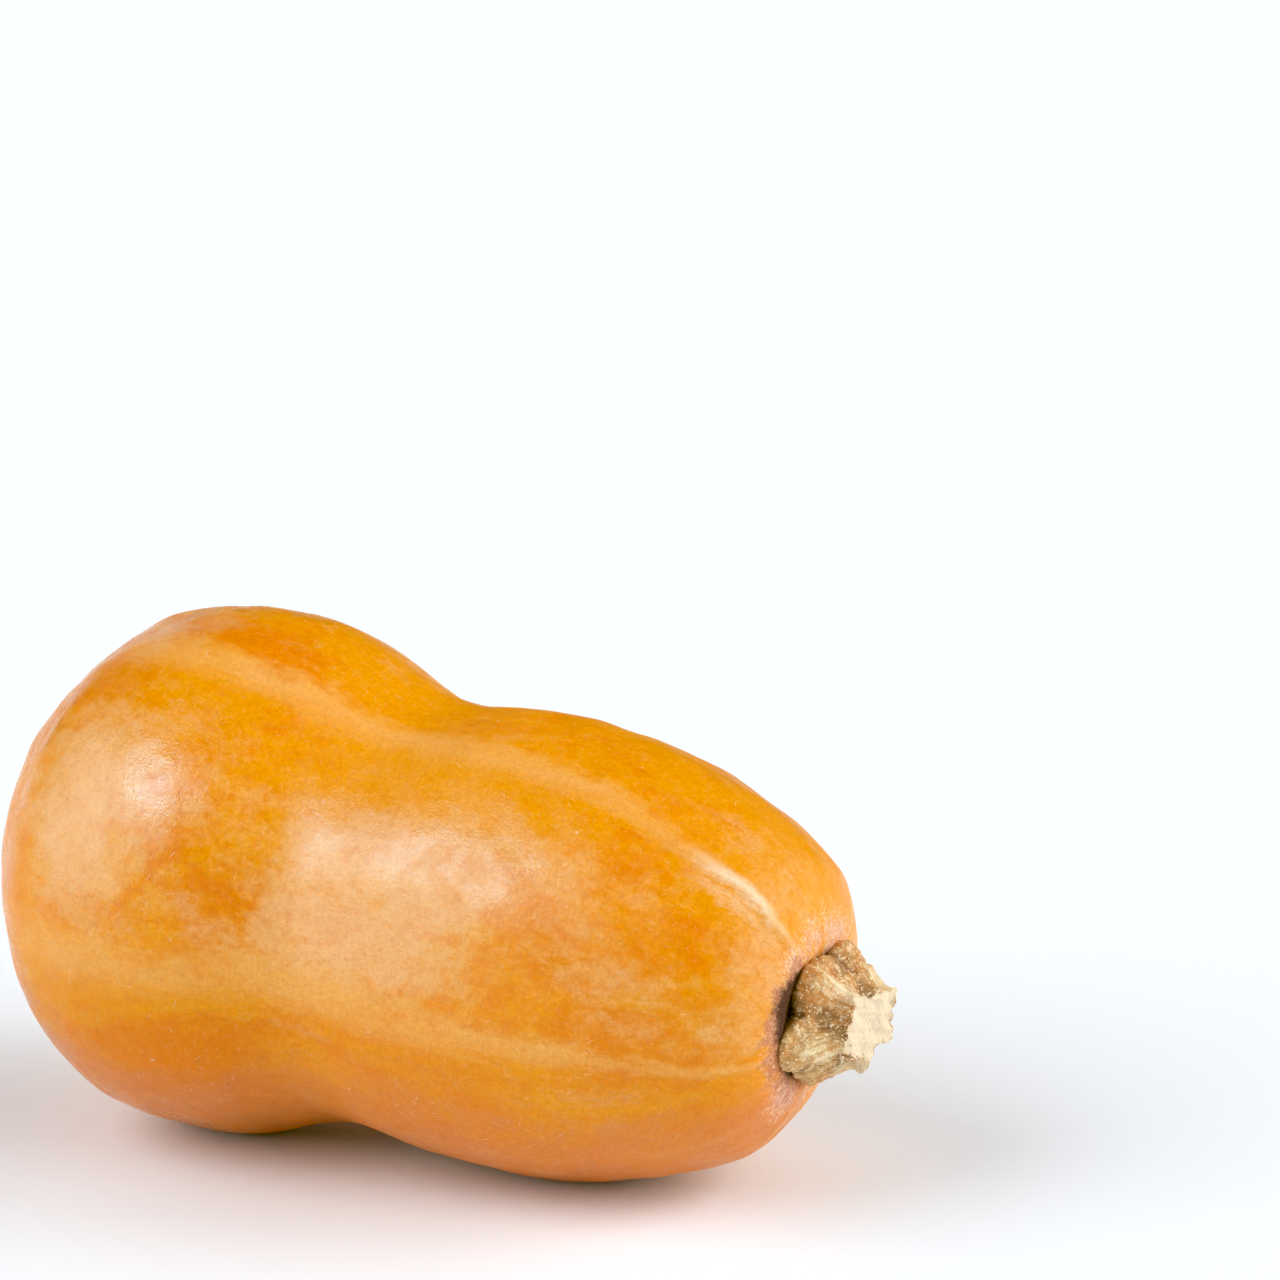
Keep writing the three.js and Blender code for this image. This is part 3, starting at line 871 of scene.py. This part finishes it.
def build_fibres(rind, stalk):
    """Slivers of pith: each a flat oval section carried along a path that starts at the cut's edge and
    bends down, tapering to a ragged tip."""
    rings, columns = 22, 14
    rng = np.random.default_rng(31)
    corners, faces = [], []
    for angle, share, length, width, way in FIBRES:
        a = math.radians(angle)
        cut = stalk.cut_radius / MM
        _, reach = lobe_share(np.array([angle]))
        base_side = cut * share * math.cos(a) * reach[0]
        base_up = cut * share * math.sin(a) * reach[0] + stalk.lean / MM
        base_out = stalk.height / MM - 0.5 + math.tan(CUT_SLANT) * base_side
        t = np.linspace(0, 1, rings)[:, None]
        way = np.array(way) / np.linalg.norm(way)
        droop = np.array([-0.25, 0, -0.35]) * length
        path = np.array([base_out, base_side, base_up]) + way * length * t + droop * t**2
        path = path + 0.12 * waves(path + angle, 1.2, 3, 10, int(angle))[:, None] * t
        cross = np.cross(way, [0, 0.9, 0.44])
        cross /= np.linalg.norm(cross)
        thin = np.cross(way, cross)
        taper = np.sqrt(np.clip(np.minimum(1, 8 * t) * (1 - t**3), 0, 1))
        taper = taper * (1 + 0.25 * waves(path * 1.7 + angle, 0.8, 2, 10, int(angle) + 1)[:, None])
        b = np.arange(columns)[None, :, None] * TURN / columns
        ragged = 1 + 0.2 * rng.normal(size=(1, columns, 1)) * t[:, None]
        section = np.cos(b) * cross * width / 2 * ragged + np.sin(b) * thin * width / 7
        ring = path[:, None] + section * taper[:, None]
        grid = stalk_place(rind, ring[..., 0], ring[..., 1], ring[..., 2])
        start = sum(len(c) for c in corners)
        corners.append(grid.reshape(-1, 3))
        i, j = np.meshgrid(np.arange(rings - 1), np.arange(columns), indexing="ij")
        k = (j + 1) % columns
        here, beyond = start + i * columns, start + (i + 1) * columns
        faces.append(np.stack([here + j, here + k, beyond + k, beyond + j], -1).reshape(-1, 4))
    mesh = bpy.data.meshes.new("torn_fibres")
    mesh.from_pydata((np.concatenate(corners) * MM).tolist(), [], np.concatenate(faces).tolist())
    shape = bmesh.new()
    shape.from_mesh(mesh)
    bmesh.ops.remove_doubles(shape, verts=shape.verts, dist=1e-6)
    bmesh.ops.recalc_face_normals(shape, faces=shape.faces)
    for polygon in shape.faces:
        polygon.smooth = True
    shape.to_mesh(mesh)
    shape.free()
    return set_down("torn_fibres", mesh)


class SQUASH_OT_grow_stalk(bpy.types.Operator):
    """Grows the five-lobed stalk with its warts, its star-shaped cut and the torn fibres of the cut"""

    bl_idname = "squash.grow_stalk"
    bl_label = "Grow stalk"

    def execute(self, context):
        rind, stalk = context.scene.squash_rind, context.scene.squash_stalk
        dressed(build_stalk(rind, stalk), stalk_material(stalk), "stalk", STALK_NODE)
        dressed(build_fibres(rind, stalk), fibre_material(stalk), "stalk")
        return {"FINISHED"}


def look_from(azimuth, elevation):
    """Unit vector from the origin towards a viewer or lamp at an azimuth and elevation in radians."""
    level = math.cos(elevation)
    return Vector((math.sin(azimuth) * level, -math.cos(azimuth) * level, math.sin(elevation)))


# broad far lamps: azimuth, elevation and angular width in degrees, strength
LAMPS = {
    "key": (-43, 35, 54, 2.05),
    "right": (92, 34, 56, 1.58),
    "back_right": (126, 26, 44, 1.45),
    "back_left": (-120, 24, 40, 0.45),
}

# far cards that only show as reflections in the wax: outline, azimuth, elevation, angular width and height
# and roll in degrees, brightness and colour
CARDS = {
    "low_window": ("RECTANGLE", -44, 20, 60, 42, 0, 4.9, (0.36, 0.78, 1.0)),
    "window": ("RECTANGLE", -25, 47, 30, 20, 0, 4.4, (0.36, 0.78, 1.0)),
    "window_heart": ("ELLIPSE", -25, 49, 11, 24, -42, 32, (0.34, 0.78, 1.0)),
    "side": ("RECTANGLE", 128, 30, 50, 50, 0, 0.8, (0.6, 0.85, 1.0)),
    "rim": ("RECTANGLE", -136, 8, 14, 26, 0, 0.9, (0.7, 0.9, 1.0)),
}
LAMP_DISTANCE, CARD_DISTANCE = 2, 4

# the world's strength and colour on dull surfaces, in gloss, and as the backdrop that the camera sees
WORLD_GLOWS = ((0.18, (1, 1, 1)), (0.04, (1, 1, 1)), (1.0, (0.93, 0.93, 0.925)))
BLACK_LEVEL = (0.0, 0.0, 0.016)

# how far the camera steps to its right and up, in metres, so that the fruit stands low and left in the frame
STEP_RIGHT, STEP_UP = 0.04038, 0.10817
SENSOR_WIDTH = 36
FLOOR_CORNERS = 96


def hang(light, azimuth, elevation, far, roll=0):
    """Hangs a light at an azimuth and elevation in degrees, facing the origin, rolled about that line."""
    holder = set_down(light.name, light)
    way = look_from(math.radians(azimuth), math.radians(elevation))
    holder.location = way * far
    turn = way.to_track_quat("Z", "Y") @ Quaternion((0, 0, 1), math.radians(roll))
    holder.rotation_euler = turn.to_euler()
    return holder


class SQUASH_OT_set_stage(bpy.types.Operator):
    """Lays the pale floor, hangs the studio lamps and sets up the camera"""

    bl_idname = "squash.set_stage"
    bl_label = "Set stage"

    def execute(self, context):
        stage = context.scene.squash_stage
        turn = np.linspace(0, TURN, FLOOR_CORNERS, endpoint=False)
        rim = np.stack([np.cos(turn), np.sin(turn), 0 * turn], -1) * stage.floor_radius
        mesh = bpy.data.meshes.new("floor")
        mesh.from_pydata(rim.tolist(), [], [list(range(len(rim)))])
        mesh.materials.append(floor_material(stage))
        set_down("floor", mesh)

        for name, (azimuth, elevation, width, strength) in LAMPS.items():
            lamp = bpy.data.lights.new(name + "_lamp", "SUN")
            lamp.energy, lamp.angle = strength, math.radians(width)
            hang(lamp, azimuth, elevation, LAMP_DISTANCE).visible_glossy = False
        for name, (outline, azimuth, elevation, width, height, roll, brightness, colour) in CARDS.items():
            card = bpy.data.lights.new(name + "_card", "AREA")
            card.shape = outline
            card.size = 2 * CARD_DISTANCE * math.tan(math.radians(width / 2))
            card.size_y = 2 * CARD_DISTANCE * math.tan(math.radians(height / 2))
            card.energy, card.color = brightness * math.pi * card.size * card.size_y, colour
            hang(card, azimuth, elevation, CARD_DISTANCE, roll).visible_diffuse = False

        world = bpy.data.worlds.new("studio_air")
        context.scene.world = world
        world.use_nodes = True
        nodes, links = world.node_tree.nodes, world.node_tree.links
        nodes.clear()
        dull, gloss, backdrop = (nodes.new("ShaderNodeBackground") for _ in WORLD_GLOWS)
        for glow, (strength, colour) in zip((dull, gloss, backdrop), WORLD_GLOWS):
            glow.inputs["Strength"].default_value = strength
            glow.inputs["Color"].default_value = (*colour, 1)
        path, out = nodes.new("ShaderNodeLightPath"), nodes.new("ShaderNodeOutputWorld")
        lighting, whole = nodes.new("ShaderNodeMixShader"), nodes.new("ShaderNodeMixShader")
        for mixed, *sources in (
            (lighting, path.outputs["Is Glossy Ray"], dull.outputs[0], gloss.outputs[0]),
            (whole, path.outputs["Is Camera Ray"], lighting.outputs[0], backdrop.outputs[0]),
            (out, whole.outputs[0]),
        ):
            for source, socket in zip(sources, mixed.inputs):
                links.new(source, socket)
        view = context.scene.view_settings
        view.view_transform, view.look, view.use_curve_mapping = "Standard", "None", True
        view.curve_mapping.black_level = BLACK_LEVEL
        view.curve_mapping.update()

        camera = bpy.data.cameras.new("studio_camera")
        camera.sensor_width, camera.lens = SENSOR_WIDTH, stage.lens
        camera.clip_start, camera.clip_end = 0.05, 40
        holder = set_down("studio_camera", camera)
        back = look_from(stage.azimuth, stage.elevation)
        right = Vector((math.cos(stage.azimuth), math.sin(stage.azimuth), 0))
        up = back.cross(right)
        holder.location = back * stage.distance + right * STEP_RIGHT + up * STEP_UP
        holder.rotation_euler = Euler((math.pi / 2 - stage.elevation, 0, stage.azimuth))
        context.scene.camera = holder
        return {"FINISHED"}


class SQUASH_PT_panel(bpy.types.Panel):
    """Sizes, colours and steps of the squash"""

    bl_label = "Butternut Squash"
    bl_idname = "SQUASH_PT_panel"
    bl_space_type = "VIEW_3D"
    bl_region_type = "UI"
    bl_category = "Squash"

    def draw(self, context):
        for group, (_, operator) in GROUPS.items():
            box = self.layout.box()
            box.operator(operator)
            settings = getattr(context.scene, group)
            for name in type(settings).__annotations__:
                box.prop(settings, name)


GROUPS = {
    "squash_rind": (SquashRindSettings, "squash.grow_rind"),
    "squash_stalk": (SquashStalkSettings, "squash.grow_stalk"),
    "squash_stage": (SquashStageSettings, "squash.set_stage"),
}
OPERATORS = (SQUASH_OT_grow_rind, SQUASH_OT_grow_stalk, SQUASH_OT_set_stage)
CLASSES = (*(settings for settings, _ in GROUPS.values()), *OPERATORS, SQUASH_PT_panel)


def register():
    for cls in CLASSES:
        bpy.utils.register_class(cls)
    for name, (settings, _) in GROUPS.items():
        setattr(bpy.types.Scene, name, PointerProperty(type=settings))


def unregister():
    for name in GROUPS:
        delattr(bpy.types.Scene, name)
    for cls in reversed(CLASSES):
        bpy.utils.unregister_class(cls)


def main():
    register()
    bpy.ops.squash.grow_rind()
    bpy.ops.squash.grow_stalk()
    bpy.ops.squash.set_stage()
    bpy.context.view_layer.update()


if __name__ == "__main__":
    main()
